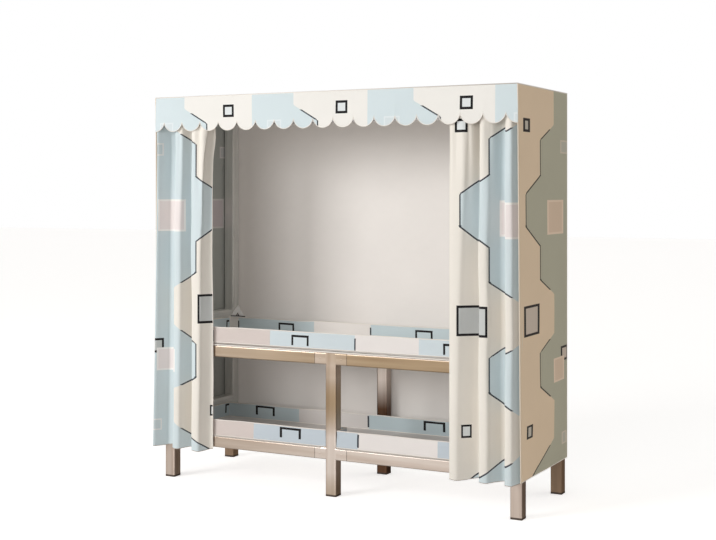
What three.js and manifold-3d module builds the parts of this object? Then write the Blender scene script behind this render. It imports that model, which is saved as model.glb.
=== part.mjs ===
import * as THREE from 'three';
import { mergeVertices } from 'three/addons/utils/BufferGeometryUtils.js';
import Module from 'manifold-3d';

// Portable fabric wardrobe: a knock-down frame of square steel tube with a cloth cover,
// two cloth trays, a hanging rod, and two curtains that draw along a rod behind a scalloped valance.
// Millimetres. X runs to the right along the front, Y from the front to the back, Z up.
// The origin is on the floor, under the middle of the cover.

const wasm = await Module();
wasm.setup();

// Clearances
const seatGap = 0.3;
const coverEase = 4;
const runningGap = 0.3;
const cutOverrun = 5;

// Cover
const coverWidth = 1712;
const coverDepth = 600;
const coverHeight = 1700;
const clothThickness = 2;
const hemHeight = 151;
const sideHemSetback = 34;
const valanceDrop = 150;
const scallopDepth = 40;
const scallopCount = 18;

// Frame of square tube, set back from the front of the cover
const coverOverhang = 64;
const tubeSide = 50;
const tubeWall = 1;
const tubeCorner = 5;
const spigotLength = 40;
const spigotRoot = 16;
const lowRailTop = 204;
const midRailTop = 603;
const lowSideRailTop = 303;
const midSideRailTop = 716;
const centreArmReach = 76;

// Feet
const footHeight = 8;
const footPlugLength = 20;
const footCorner = 4;

// Rivets and screws
const rivetRadius = 4;
const rivetHeight = 1.6;
const screwRadius = 4.5;
const screwHeight = 2.4;

// Trays
const lowTrayWallHeight = 72;
const midTrayWallHeight = 80;
const trayCorner = 14;
const trayHemSetback = 4;
const cornerTabWidth = 85;
const cornerTabHeight = 48;

// Hanging rod
const hangingRodRadius = 12.5;
const hangingRodWall = 1.5;
const hangingRodDrop = 73;
const socketRadius = 17;
const socketDepth = 22;
const socketPlateWidth = 40;
const socketPlateHeight = 116;
const plateThickness = 3;
const plateCorner = 6;
const socketScrewPitch = 20;
const socketScrewDrop = 15;

// Curtain rod
const curtainRodRadius = 9.5;
const curtainRodWall = 1.2;
const curtainRodDrop = 40;
const curtainRodForward = 38;
const rodEndInset = 10;
const rodPlateWidth = 30;
const rodPlateHeight = 46;
const rodPlateRise = 6;
const rodStemWidth = 8;
const rodStemHeight = 12;
const rodCollarRadius = 13;
const rodCollarLength = 12;
const rodScrewPitch = 32;

// Curtain rings
const ringRadius = 16.5;
const ringWire = 2.25;
const ringStemSide = 4;
const ringStemHeight = 7;
const clipWidth = 8;
const clipDepth = 6;
const clipHeight = 12;
const clipCorner = 1.5;
const firstRingInset = 48;
const leadRingInset = 8;

// Places of the rings between the first and the lead ring, with the curtain drawn open
const ringPlaceShares = [0, 0.262, 0.425, 0.575, 0.738, 1];

// Curtains, gathered at the sides
const curtainCloth = 3;
const curtainWidth = 288;
const foldDepth = 21;
const foldMiddleBack = 4;
const leftFirstFold = 83;
const leftFoldPitch = 105;
const rightFirstFold = 41;
const rightFoldPitch = 116;
const curtainColumns = 54;

// Heights of the cross-sections of a curtain, and how deep its folds are there
const curtainHeightShares = [0, 0.25, 0.5, 0.72, 0.86, 0.94, 1];
const curtainFoldShares = [1, 0.96, 0.9, 0.8, 0.6, 0.34, 0.1];

// Smoothness of round forms
const cornerSteps = 1;
const roundSteps = 10;
const ringSteps = 16;
const smallRoundSteps = 8;
const scallopSteps = 4;
const wireSteps = 6;
const domeSteps = 2;

// Sizes that follow from the ones above
const coverBackFace = coverDepth / 2;
const frameHalfWidth = coverWidth / 2 - clothThickness - coverEase;
const frameBack = coverBackFace - clothThickness - coverEase;
const frameFront = coverOverhang - coverDepth / 2;
const frameTop = coverHeight - clothThickness - seatGap;
const tubeHalf = tubeSide / 2;
const boreSide = tubeSide - 2 * tubeWall;
const boreCorner = tubeCorner - tubeWall;
const spigotCorner = boreCorner - runningGap;
const spigotSide = boreSide - 2 * runningGap;
const spigotBoreSide = spigotSide - 2 * tubeWall;
const spigotBoreCorner = spigotCorner - tubeWall;
const postX = frameHalfWidth - tubeHalf;
const postInnerX = frameHalfWidth - tubeSide;
const frontLineY = frameFront + tubeHalf;
const backLineY = frameBack - tubeHalf;
const postBottom = footHeight + seatGap;
const frontInnerY = frameFront + tubeSide;
const backInnerY = frameBack - tubeSide;
const topLevel = frameTop - tubeHalf;
const lowLevel = lowRailTop - tubeHalf;
const midLevel = midRailTop - tubeHalf;
const lowSideLevel = lowSideRailTop - tubeHalf;
const midSideLevel = midSideRailTop - tubeHalf;
const curtainRodY = frameFront - curtainRodForward;
const curtainRodLevel = coverHeight - curtainRodDrop;
const coverInnerX = coverWidth / 2 - clothThickness;
const hangingRodLevel = topLevel - hangingRodDrop;
const hangingRodY = (frameFront + frameBack) / 2;

const steel = new THREE.MeshStandardMaterial({ color: 0xbcae9f, roughness: 0.32, metalness: 0.9 });
const chrome = new THREE.MeshStandardMaterial({ color: 0xd9dadb, roughness: 0.14, metalness: 1 });
const footPlastic = new THREE.MeshStandardMaterial({ color: 0x5c5148, roughness: 0.6, metalness: 0 });
const coverCloth = new THREE.MeshStandardMaterial({ color: 0xeae3d8, roughness: 0.85, metalness: 0 });
const valanceCloth = new THREE.MeshStandardMaterial({ color: 0xf1ece3, roughness: 0.85, metalness: 0 });
const curtainFabric = new THREE.MeshStandardMaterial({ color: 0xcfdcdf, roughness: 0.85, metalness: 0 });
const trayCloth = new THREE.MeshStandardMaterial({ color: 0xd8dedb, roughness: 0.85, metalness: 0 });

const wardrobe = new THREE.Group();

function addPiece(name, geometry, material, x = 0, y = 0, z = 0) {
  const mesh = new THREE.Mesh(geometry, material);
  mesh.name = name;
  mesh.position.set(x, y, z);
  wardrobe.add(mesh);
  return mesh;
}

// Solids for cuts and joins

function solidOf(geometry) {
  const bare = geometry.clone();
  bare.deleteAttribute('normal');
  bare.deleteAttribute('uv');
  const merged = mergeVertices(bare);
  return new wasm.Manifold(new wasm.Mesh({
    numProp: 3,
    vertProperties: new Float32Array(merged.attributes.position.array),
    triVerts: new Uint32Array(merged.index.array),
  }));
}

function geometryOf(solid) {
  const result = solid.getMesh();
  const geometry = new THREE.BufferGeometry();
  geometry.setAttribute('position', new THREE.BufferAttribute(new Float32Array(result.vertProperties), 3));
  geometry.setIndex(new THREE.BufferAttribute(new Uint32Array(result.triVerts), 1));
  const flat = geometry.toNonIndexed();
  flat.computeVertexNormals();
  return flat;
}

// The joined forms of one list, less the forms of another
function shaped(forms, cuts = []) {
  let solid = solidOf(forms[0]);
  for (const form of forms.slice(1)) solid = solid.add(solidOf(form));
  for (const cut of cuts) solid = solid.subtract(solidOf(cut));
  return geometryOf(solid);
}

// Outlines

function roundedRectangle(width, height, corner) {
  const right = width / 2;
  const top = height / 2;
  const outline = new THREE.Shape();
  outline.moveTo(-right + corner, -top);
  outline.lineTo(right - corner, -top);
  outline.absarc(right - corner, -top + corner, corner, -Math.PI / 2, 0);
  outline.lineTo(right, top - corner);
  outline.absarc(right - corner, top - corner, corner, 0, Math.PI / 2);
  outline.lineTo(-right + corner, top);
  outline.absarc(-right + corner, top - corner, corner, Math.PI / 2, Math.PI);
  outline.lineTo(-right, -top + corner);
  outline.absarc(-right + corner, -top + corner, corner, Math.PI, Math.PI * 1.5);
  return outline;
}

function roundedSquare(side, corner) {
  return roundedRectangle(side, side, corner);
}

function disc(radius) {
  const outline = new THREE.Shape();
  outline.absarc(0, 0, radius, 0, Math.PI * 2);
  return outline;
}

// A straight bar of the given outline along an axis, from one place on it to another
function bar(outline, axis, from, to, centre = new THREE.Vector3(), steps = cornerSteps) {
  const geometry = new THREE.ExtrudeGeometry(outline, {
    depth: Math.abs(to - from),
    bevelEnabled: false,
    curveSegments: steps,
  });
  geometry.translate(0, 0, Math.min(from, to));
  if (axis === 'x') geometry.rotateY(Math.PI / 2);
  if (axis === 'y') geometry.rotateX(-Math.PI / 2);
  geometry.translate(centre.x, centre.y, centre.z);
  return geometry;
}

function at(x, y, z) {
  return new THREE.Vector3(x, y, z);
}

// A low domed head on a flat face, turned so that it stands out along the given direction
function head(radius, height, direction, place) {
  const profile = [new THREE.Vector2(0, -height), new THREE.Vector2(radius, -height)];
  for (let step = 0; step <= domeSteps; step += 1) {
    const angle = (step / domeSteps) * Math.PI / 2;
    const out = step === domeSteps ? 0 : radius * Math.cos(angle);
    profile.push(new THREE.Vector2(out, height * Math.sin(angle)));
  }
  const geometry = new THREE.LatheGeometry(profile, smallRoundSteps);
  const turn = new THREE.Quaternion().setFromUnitVectors(at(0, 1, 0), direction);
  geometry.applyQuaternion(turn);
  geometry.translate(place.x, place.y, place.z);
  return geometry;
}

// Square tube and its hidden spigots

const tubeOutline = roundedSquare(tubeSide, tubeCorner);
const boreOutline = roundedSquare(boreSide, boreCorner);
const spigotOutline = roundedSquare(spigotSide, spigotCorner);
const spigotBoreOutline = roundedSquare(spigotBoreSide, spigotBoreCorner);

// A spigot welded to the face of a tube whose axis passes through the given centre
function spigot(axis, way, centre) {
  return bar(spigotOutline, axis, way * (tubeHalf - tubeWall / 2), way * (tubeHalf + spigotLength), centre);
}

function spigotBore(axis, way, centre) {
  return bar(spigotBoreOutline, axis, way * tubeHalf, way * (tubeHalf + spigotLength + cutOverrun), centre);
}

// A corner post, closed at its top, with spigots towards the long rails and the side rails
function cornerPost(wayX, wayY) {
  const forms = [bar(tubeOutline, 'z', postBottom, frameTop)];
  const cuts = [bar(boreOutline, 'z', postBottom - cutOverrun, frameTop - tubeWall)];
  for (const level of [lowLevel, midLevel, topLevel]) {
    forms.push(spigot('x', wayX, at(0, 0, level)));
    cuts.push(spigotBore('x', wayX, at(0, 0, level)));
  }
  for (const level of [lowSideLevel, midSideLevel, topLevel]) {
    forms.push(spigot('y', wayY, at(0, 0, level)));
    cuts.push(spigotBore('y', wayY, at(0, 0, level)));
  }
  return shaped(forms, cuts);
}

// The welded centre upright: a leg and post with an arm each way at both shelf levels.
// A riveted sleeve stands out of each arm's end and carries a long rail.
function centreUpright(wayY) {
  const forms = [bar(tubeOutline, 'z', postBottom, midRailTop)];
  const cuts = [bar(boreOutline, 'z', postBottom - cutOverrun, midRailTop - tubeWall)];
  const sleeveStart = centreArmReach - spigotRoot;
  const sleeveEnd = centreArmReach + spigotLength;
  const outward = at(0, -wayY, 0);
  for (const level of [lowLevel, midLevel]) {
    forms.push(bar(tubeOutline, 'x', -centreArmReach, centreArmReach, at(0, 0, level)));
    forms.push(bar(spigotOutline, 'x', -sleeveEnd, sleeveEnd, at(0, 0, level)));
    forms.push(spigot('y', wayY, at(0, 0, level)));
    cuts.push(bar(boreOutline, 'x', -sleeveStart, sleeveStart, at(0, 0, level)));
    cuts.push(bar(spigotBoreOutline, 'x', -sleeveEnd - cutOverrun, sleeveEnd + cutOverrun, at(0, 0, level)));
    cuts.push(spigotBore('y', wayY, at(0, 0, level)));
    for (const side of [-1, 1]) {
      const rivetX = side * (tubeHalf + centreArmReach) / 2;
      forms.push(head(rivetRadius, rivetHeight, outward, at(rivetX, -wayY * tubeHalf, level)));
    }
  }
  return shaped(forms, cuts);
}

function hollowTube(axis, length) {
  const outline = tubeOutline.clone();
  outline.holes.push(boreOutline);
  return bar(outline, axis, -length / 2, length / 2);
}

// A long top rail with a spigot at mid length for the cross bar
function topRail(length, wayY) {
  const forms = [bar(tubeOutline, 'x', -length / 2, length / 2), spigot('y', wayY, at(0, 0, 0))];
  const cuts = [
    bar(boreOutline, 'x', -length / 2 - cutOverrun, length / 2 + cutOverrun),
    spigotBore('y', wayY, at(0, 0, 0)),
  ];
  return shaped(forms, cuts);
}

function foot() {
  return shaped([
    bar(roundedSquare(tubeSide, footCorner), 'z', 0, footHeight),
    bar(spigotOutline, 'z', footHeight / 2, footHeight + footPlugLength),
  ]);
}

const corners = [
  { name: 'front_left', x: -postX, y: frontLineY, wayX: 1, wayY: 1 },
  { name: 'front_right', x: postX, y: frontLineY, wayX: -1, wayY: 1 },
  { name: 'back_left', x: -postX, y: backLineY, wayX: 1, wayY: -1 },
  { name: 'back_right', x: postX, y: backLineY, wayX: -1, wayY: -1 },
];
for (const corner of corners) {
  addPiece(`post_${corner.name}`, cornerPost(corner.wayX, corner.wayY), steel, corner.x, corner.y);
  addPiece(`foot_${corner.name}`, foot(), footPlastic, corner.x, corner.y);
}

const longLines = [
  { name: 'front', y: frontLineY, wayY: 1 },
  { name: 'back', y: backLineY, wayY: -1 },
];
const longLevels = [
  { name: 'low', z: lowLevel },
  { name: 'mid', z: midLevel },
];
const sides = [
  { name: 'left', way: -1, firstFold: leftFirstFold, foldPitch: leftFoldPitch },
  { name: 'right', way: 1, firstFold: rightFirstFold, foldPitch: rightFoldPitch },
];
const longRailStart = centreArmReach + seatGap;
const longRailEnd = postInnerX - seatGap;
const longRailLength = longRailEnd - longRailStart;
const longRailMiddle = (longRailStart + longRailEnd) / 2;
for (const line of longLines) {
  addPiece(`centre_upright_${line.name}`, centreUpright(line.wayY), steel, 0, line.y);
  addPiece(`foot_${line.name}_centre`, foot(), footPlastic, 0, line.y);
  addPiece(`rail_${line.name}_top`, topRail(2 * longRailEnd, line.wayY), steel, 0, line.y, topLevel);
  for (const level of longLevels) {
    for (const side of sides) {
      const name = `rail_${line.name}_${level.name}_${side.name}`;
      addPiece(name, hollowTube('x', longRailLength), steel, side.way * longRailMiddle, line.y, level.z);
    }
  }
}

const crossLength = backInnerY - frontInnerY - 2 * seatGap;
const crossY = (backInnerY + frontInnerY) / 2;
const crossPieces = [
  { name: 'rail_left_low', x: -postX, z: lowSideLevel },
  { name: 'rail_right_low', x: postX, z: lowSideLevel },
  { name: 'rail_left_mid', x: -postX, z: midSideLevel },
  { name: 'rail_right_mid', x: postX, z: midSideLevel },
  { name: 'rail_left_top', x: -postX, z: topLevel },
  { name: 'rail_right_top', x: postX, z: topLevel },
  { name: 'cross_bar_low', x: 0, z: lowLevel },
  { name: 'cross_bar_mid', x: 0, z: midLevel },
  { name: 'cross_bar_top', x: 0, z: topLevel },
];
for (const piece of crossPieces) {
  addPiece(piece.name, hollowTube('y', crossLength), steel, piece.x, crossY, piece.z);
}

// Hanging rod in two sockets on the top side rails

const socketPlateFace = postInnerX - seatGap;
const hangingRodHalf = socketPlateFace - plateThickness - seatGap;

function hollowRod(radius, wall, halfLength) {
  const outline = disc(radius);
  outline.holes.push(disc(radius - wall));
  return bar(outline, 'x', -halfLength, halfLength, undefined, roundSteps);
}

// A plate on the rail's inner face with a round cup for the rod's end, about the rod's axis
function rodSocket(way) {
  const plateTop = frameTop - hangingRodLevel - tubeCorner;
  const plateMiddle = plateTop - socketPlateHeight / 2;
  const inner = way * -1;
  const plate = bar(
    roundedRectangle(socketPlateHeight, socketPlateWidth, plateCorner),
    'x', 0, inner * plateThickness, at(0, 0, plateMiddle),
  );
  const forms = [plate, bar(disc(socketRadius), 'x', 0, inner * socketDepth, undefined, roundSteps)];
  for (const drop of [socketScrewDrop, socketScrewDrop + socketScrewPitch]) {
    const place = at(inner * plateThickness, 0, plateTop - drop);
    forms.push(head(screwRadius, screwHeight, at(inner, 0, 0), place));
  }
  const bore = bar(
    disc(hangingRodRadius + runningGap), 'x',
    inner * plateThickness, inner * (socketDepth + cutOverrun), undefined, roundSteps,
  );
  return shaped(forms, [bore]);
}

addPiece(
  'hanging_rod', hollowRod(hangingRodRadius, hangingRodWall, hangingRodHalf), chrome,
  0, hangingRodY, hangingRodLevel,
);
for (const side of sides) {
  addPiece(
    `hanging_rod_socket_${side.name}`, rodSocket(side.way), chrome,
    side.way * socketPlateFace, hangingRodY, hangingRodLevel,
  );
}

// Curtain rod on three brackets in front of the frame

const curtainRodHalf = coverInnerX - rodEndInset;
const bracketFaceY = frameFront - seatGap;

// A bracket about the rod's axis: a plate on the frame, a stem and a collar round the rod
function rodBracket() {
  const plateBack = bracketFaceY - curtainRodY;
  const plate = bar(
    roundedRectangle(rodPlateWidth, rodPlateHeight, plateCorner),
    'y', plateBack - plateThickness, plateBack, at(0, 0, rodPlateRise),
  );
  const stem = bar(
    roundedRectangle(rodStemWidth, rodStemHeight, clipCorner),
    'y', (curtainRodRadius + rodCollarRadius) / 2, plateBack - plateThickness / 2,
  );
  const halfCollar = rodCollarLength / 2;
  const forms = [plate, stem, bar(disc(rodCollarRadius), 'x', -halfCollar, halfCollar, undefined, roundSteps)];
  for (const way of [-1, 1]) {
    const place = at(0, plateBack - plateThickness, rodPlateRise + way * rodScrewPitch / 2);
    forms.push(head(screwRadius, screwHeight, at(0, -1, 0), place));
  }
  const bore = bar(
    disc(curtainRodRadius + runningGap), 'x',
    -halfCollar - cutOverrun, halfCollar + cutOverrun, undefined, roundSteps,
  );
  return shaped(forms, [bore]);
}

addPiece(
  'curtain_rod', hollowRod(curtainRodRadius, curtainRodWall, curtainRodHalf), chrome,
  0, curtainRodY, curtainRodLevel,
);
for (const bracket of [{ name: 'left', x: -postX }, { name: 'centre', x: 0 }, { name: 'right', x: postX }]) {
  addPiece(`curtain_rod_bracket_${bracket.name}`, rodBracket(), chrome, bracket.x, curtainRodY, curtainRodLevel);
}

// Curtain rings, hanging on the rod, each with a clip for the curtain's head

const ringInnerRadius = ringRadius - ringWire;
const ringOuterRadius = ringRadius + ringWire;
const ringLevel = curtainRodLevel + curtainRodRadius + runningGap - ringInnerRadius;
const clipTop = -ringOuterRadius - ringStemHeight + clipCorner;
const clipBottom = clipTop - clipHeight;
const curtainHead = ringLevel + clipBottom - seatGap;

function curtainRing() {
  const loop = new THREE.TorusGeometry(ringRadius, ringWire, wireSteps, ringSteps);
  loop.rotateY(Math.PI / 2);
  const stem = bar(roundedSquare(ringStemSide, clipCorner), 'z', clipTop - clipCorner, -ringRadius);
  const clip = bar(
    roundedRectangle(clipHeight, clipWidth, clipCorner),
    'y', -clipDepth / 2, clipDepth / 2,
  );
  clip.rotateY(Math.PI / 2);
  clip.translate(0, 0, (clipTop + clipBottom) / 2);
  return shaped([loop, stem, clip]);
}

const curtainOuterX = coverInnerX - seatGap;
const firstRingX = curtainOuterX - firstRingInset;
const leadRingX = curtainOuterX - curtainWidth + leadRingInset;
for (const side of sides) {
  ringPlaceShares.forEach((share, index) => {
    const x = THREE.MathUtils.lerp(firstRingX, leadRingX, share);
    addPiece(
      `curtain_ring_${side.name}_${index + 1}`, curtainRing(), chrome,
      side.way * x, curtainRodY, ringLevel,
    );
  });
}

// Curtains: cloth gathered in soft upright folds that run out towards the head

function foldedCloth(way, firstFold, foldPitch) {
  const rows = curtainHeightShares.length;
  const outerX = way * curtainOuterX;
  const innerX = way * (curtainOuterX - curtainWidth);
  const startX = Math.min(outerX, innerX);
  const positions = [];
  for (let column = 0; column <= curtainColumns; column += 1) {
    const x = startX + curtainWidth * column / curtainColumns;
    const fromOuterEdge = Math.abs(outerX - x);
    const wave = Math.cos(2 * Math.PI * (fromOuterEdge - firstFold) / foldPitch);
    for (let row = 0; row < rows; row += 1) {
      const z = THREE.MathUtils.lerp(hemHeight, curtainHead, curtainHeightShares[row]);
      const headShare = 1 - curtainFoldShares[row];
      const middle = curtainRodY + foldMiddleBack * (1 - headShare);
      const y = middle - foldDepth * curtainFoldShares[row] * wave;
      positions.push(x, y - curtainCloth / 2, z, x, y + curtainCloth / 2, z);
    }
  }
  const front = (column, row) => 2 * (column * rows + row);
  const back = (column, row) => front(column, row) + 1;
  const triangles = [];
  const quad = (a, b, c, d) => triangles.push(a, b, c, a, c, d);
  for (let column = 0; column < curtainColumns; column += 1) {
    for (let row = 0; row < rows - 1; row += 1) {
      quad(front(column, row), front(column + 1, row), front(column + 1, row + 1), front(column, row + 1));
      quad(back(column, row), back(column, row + 1), back(column + 1, row + 1), back(column + 1, row));
    }
    const top = rows - 1;
    quad(front(column, 0), back(column, 0), back(column + 1, 0), front(column + 1, 0));
    quad(front(column, top), front(column + 1, top), back(column + 1, top), back(column, top));
  }
  for (let row = 0; row < rows - 1; row += 1) {
    quad(front(0, row), front(0, row + 1), back(0, row + 1), back(0, row));
    const last = curtainColumns;
    quad(front(last, row), back(last, row), back(last, row + 1), front(last, row + 1));
  }
  const geometry = new THREE.BufferGeometry();
  geometry.setAttribute('position', new THREE.Float32BufferAttribute(positions, 3));
  geometry.setIndex(triangles);
  geometry.computeVertexNormals();
  return geometry;
}

for (const side of sides) {
  addPiece(`curtain_${side.name}`, foldedCloth(side.way, side.firstFold, side.foldPitch), curtainFabric);
}

// Cloth trays: the front wall stands over the front rail's edge and the back wall inside the posts.
// Behind it a lip of the floor lies on the back rail.

const trayHalfWidth = postInnerX - seatGap - clothThickness / 2;
const trayFront = frameFront + trayHemSetback;
const trayBack = backInnerY - seatGap;
const trayDepth = trayBack - trayFront;
const trayMiddleY = (trayFront + trayBack) / 2;
const trayLipBack = frameBack - trayHemSetback;
const postPassHalf = tubeHalf + seatGap;

// The space that a tray leaves for the front centre post, grown all round by the given wall
function frontPostSpace(wallHeight, wall) {
  const front = trayFront - cutOverrun;
  const back = frontInnerY + seatGap + wall;
  const space = new THREE.BoxGeometry(
    2 * (postPassHalf + wall), back - front, 2 * (wallHeight + cutOverrun),
  );
  space.translate(0, (front + back) / 2, 0);
  return space;
}

function trayShell(wallHeight, postPasses) {
  const place = at(0, trayMiddleY, 0);
  const outline = roundedRectangle(2 * trayHalfWidth, trayDepth, trayCorner);
  const innerOutline = roundedRectangle(
    2 * (trayHalfWidth - clothThickness), trayDepth - 2 * clothThickness, trayCorner - clothThickness,
  );
  const outer = bar(outline, 'z', 0, wallHeight, place);
  const inner = bar(innerOutline, 'z', clothThickness, wallHeight + cutOverrun, place);
  if (!postPasses) return shaped([outer], [inner]);
  const hollow = shaped([inner], [frontPostSpace(wallHeight, clothThickness)]);
  return shaped([outer], [hollow, frontPostSpace(wallHeight, 0)]);
}

// The lip behind the back wall, with a notch where the back centre post passes
function trayLip(postPasses) {
  const outline = new THREE.Shape();
  outline.moveTo(-trayHalfWidth, trayBack - trayCorner);
  outline.lineTo(trayHalfWidth, trayBack - trayCorner);
  outline.lineTo(trayHalfWidth, trayLipBack);
  if (postPasses) {
    outline.lineTo(postPassHalf, trayLipBack);
    outline.lineTo(postPassHalf, trayBack);
    outline.lineTo(-postPassHalf, trayBack);
    outline.lineTo(-postPassHalf, trayLipBack);
  }
  outline.lineTo(-trayHalfWidth, trayLipBack);
  return bar(outline, 'z', 0, clothThickness);
}

// A sewn triangular tab that stands up from the back wall beside a corner
function cornerTab(way, wallHeight) {
  const outer = trayHalfWidth - trayCorner;
  const outline = new THREE.Shape();
  outline.moveTo(way * outer, 0);
  outline.lineTo(way * outer, wallHeight);
  outline.lineTo(way * (outer - cornerTabWidth / 2), wallHeight + cornerTabHeight);
  outline.lineTo(way * (outer - cornerTabWidth), wallHeight);
  outline.lineTo(way * (outer - cornerTabWidth), 0);
  const geometry = new THREE.ExtrudeGeometry(outline, { depth: clothThickness, bevelEnabled: false });
  geometry.rotateX(Math.PI / 2);
  geometry.translate(0, trayBack, 0);
  return geometry;
}

const lowTray = shaped([trayShell(lowTrayWallHeight, true), trayLip(true)]);
const midTray = shaped([
  trayShell(midTrayWallHeight, false),
  trayLip(false),
  cornerTab(-1, midTrayWallHeight),
  cornerTab(1, midTrayWallHeight),
]);
addPiece('tray_low', lowTray, trayCloth, 0, 0, lowRailTop + seatGap);
addPiece('tray_mid', midTray, trayCloth, 0, 0, midRailTop + seatGap);

// Cover: top, sides, back and the scalloped valance, each a sewn panel

function panel(width, depth, height) {
  return new THREE.BoxGeometry(width, depth, height);
}

const skirtTop = coverHeight - clothThickness - seatGap;
const skirtHeight = skirtTop - hemHeight;
const skirtLevel = (skirtTop + hemHeight) / 2;
const panelLine = coverDepth / 2 - clothThickness / 2;
const panelLineX = coverWidth / 2 - clothThickness / 2;
const sidePanelBack = coverDepth / 2 - clothThickness - seatGap;
addPiece(
  'cover_top', panel(coverWidth, coverDepth, clothThickness), coverCloth,
  0, 0, coverHeight - clothThickness / 2,
);
addPiece(
  'cover_back', panel(coverWidth, clothThickness, skirtHeight), coverCloth,
  0, panelLine, skirtLevel,
);

// A side panel, whose front edge slants back towards the hem
function sidePanel() {
  const outline = new THREE.Shape();
  outline.moveTo(sidePanelBack, 0);
  outline.lineTo(sidePanelBack, skirtHeight);
  outline.lineTo(-sidePanelBack, skirtHeight);
  outline.lineTo(sideHemSetback - sidePanelBack, 0);
  const geometry = new THREE.ExtrudeGeometry(outline, { depth: clothThickness, bevelEnabled: false });
  geometry.rotateX(Math.PI / 2);
  geometry.rotateZ(Math.PI / 2);
  geometry.translate(-clothThickness / 2, 0, 0);
  return geometry;
}

for (const side of sides) {
  addPiece(`cover_${side.name}`, sidePanel(), coverCloth, side.way * panelLineX, 0, hemHeight);
}

// The valance's lower edge is a row of arcs, with half an arc at each end
function valance() {
  const pitch = coverWidth / scallopCount;
  const halfPitch = pitch / 2;
  const radius = (halfPitch * halfPitch + scallopDepth * scallopDepth) / (2 * scallopDepth);
  const halfAngle = Math.asin(halfPitch / radius);
  const lowest = -valanceDrop;
  const centre = lowest + radius;
  const downward = -Math.PI / 2;
  const left = -coverWidth / 2;
  const outline = new THREE.Shape();
  outline.moveTo(left, 0);
  outline.lineTo(left, lowest);
  outline.absarc(left, centre, radius, downward, downward + halfAngle);
  for (let index = 1; index < scallopCount; index += 1) {
    outline.absarc(left + index * pitch, centre, radius, downward - halfAngle, downward + halfAngle);
  }
  outline.absarc(-left, centre, radius, downward - halfAngle, downward);
  outline.lineTo(-left, 0);
  const geometry = new THREE.ExtrudeGeometry(outline, {
    depth: clothThickness,
    bevelEnabled: false,
    curveSegments: scallopSteps,
  });
  geometry.rotateX(Math.PI / 2);
  return geometry;
}

addPiece('valance', valance(), valanceCloth, 0, -coverDepth / 2 + clothThickness, skirtTop);

export default wardrobe;
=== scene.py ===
import math

import bmesh
import bpy
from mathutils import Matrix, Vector, noise


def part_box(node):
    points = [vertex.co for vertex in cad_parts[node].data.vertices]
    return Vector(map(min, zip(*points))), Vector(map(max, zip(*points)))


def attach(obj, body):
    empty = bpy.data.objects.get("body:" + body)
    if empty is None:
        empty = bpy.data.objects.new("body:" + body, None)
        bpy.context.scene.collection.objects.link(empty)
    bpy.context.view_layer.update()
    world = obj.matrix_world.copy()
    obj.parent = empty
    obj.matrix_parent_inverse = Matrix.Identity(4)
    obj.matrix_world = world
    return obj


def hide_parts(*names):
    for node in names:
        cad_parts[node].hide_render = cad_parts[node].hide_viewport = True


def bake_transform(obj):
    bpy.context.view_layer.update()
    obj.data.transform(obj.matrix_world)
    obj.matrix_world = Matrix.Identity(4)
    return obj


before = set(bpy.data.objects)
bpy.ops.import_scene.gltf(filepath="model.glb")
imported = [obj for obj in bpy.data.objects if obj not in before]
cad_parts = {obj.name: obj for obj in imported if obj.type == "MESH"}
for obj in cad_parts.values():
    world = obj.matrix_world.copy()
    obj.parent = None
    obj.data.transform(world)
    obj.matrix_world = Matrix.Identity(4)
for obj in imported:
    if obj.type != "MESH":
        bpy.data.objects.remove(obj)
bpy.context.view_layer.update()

# Portable fabric wardrobe. Metres. X runs along the front, Y to the back, Z up.

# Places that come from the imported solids
HALF_WIDTH, HALF_DEPTH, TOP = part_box("cover_top")[1]
back_low, back_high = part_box("cover_back")
rod_low, rod_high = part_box("curtain_rod")
HEM = back_low.z
PANEL_TOP = back_high.z
VALANCE_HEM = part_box("valance")[0].z
RING_Y = (rod_low.y + rod_high.y) / 2
MID_RAIL_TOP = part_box("rail_front_mid_left")[1].z
POST_FRONT_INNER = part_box("post_front_left")[1].y
POST_BACK_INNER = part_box("post_back_left")[0].y

# Cloth, and how far its middle surface lies inside the solids' faces
CLOTH = 0.0012
TOP_INSET = 0.0008
PANEL_INSET = 0.001
SIDE_EDGE_INSET = 0.0023
BACK_EDGE_INSET = 0.0006
SIDE_SETBACK = 0.034
LEFT_FLARE = 0.024
SCALLOPS = 18
SCALLOP_DEPTH = 0.040
VALANCE_STEPS = SCALLOPS * 16

# Slack between the frame's members: a bay's start beside the middle and its width, the front rail's
# inner edge and the reach from it
TOP_BAY = (0.025, 0.775)
TRAY_BAY = (0.03, 0.77)
RAIL_INNER_Y = -0.186
TOP_REACH = 0.43
TOP_SLACK = 0.007
TRAY_SLACK = 0.009

# Trims: cords' radii and the size of a stitch
CORD = {
    "valance": 0.0017, "top": 0.0024, "back": 0.0018, "side": 0.0019, "binding": 0.0028, "curtain": 0.0016,
    "tray": 0.0022, "tray_lip": 0.0015, "tray_foot": 0.0032, "tab_loop": 0.0024,
}
STITCH = {"Pitch": 0.0065, "Thickness": 0.00085, "Half Length": 0.0021}

# Print: places along the cloth in steps of the band, heights in metres. BAND_STEPS gives how far the
# band's edge stands out by height; the line of a slanted stretch is narrowed by SLANT
STEP = 0.118
SIDE_STEP = 0.166
SIDE_RIM_STEP = 0.075
PRINT_PERIOD = 4.72
BAND_WIDTH = 1.75
PRINT_HEIGHT = 1.7
SLANT = 0.55
BAND_STEPS = [
    (0.0, 1.6), (0.145, 1.6), (0.172, 1.25), (0.262, 0), (0.418, 0), (0.494, 1), (0.631, 1),
    (0.696, 0), (0.858, 0), (0.926, 1), (1.062, 1), (1.143, 2), (1.272, 2), (1.346, 1),
    (1.489, 1), (1.557, 0), (1.7, 0),
]
LINE = 0.0062
NO_LINE_BELOW = 0.3

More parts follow.
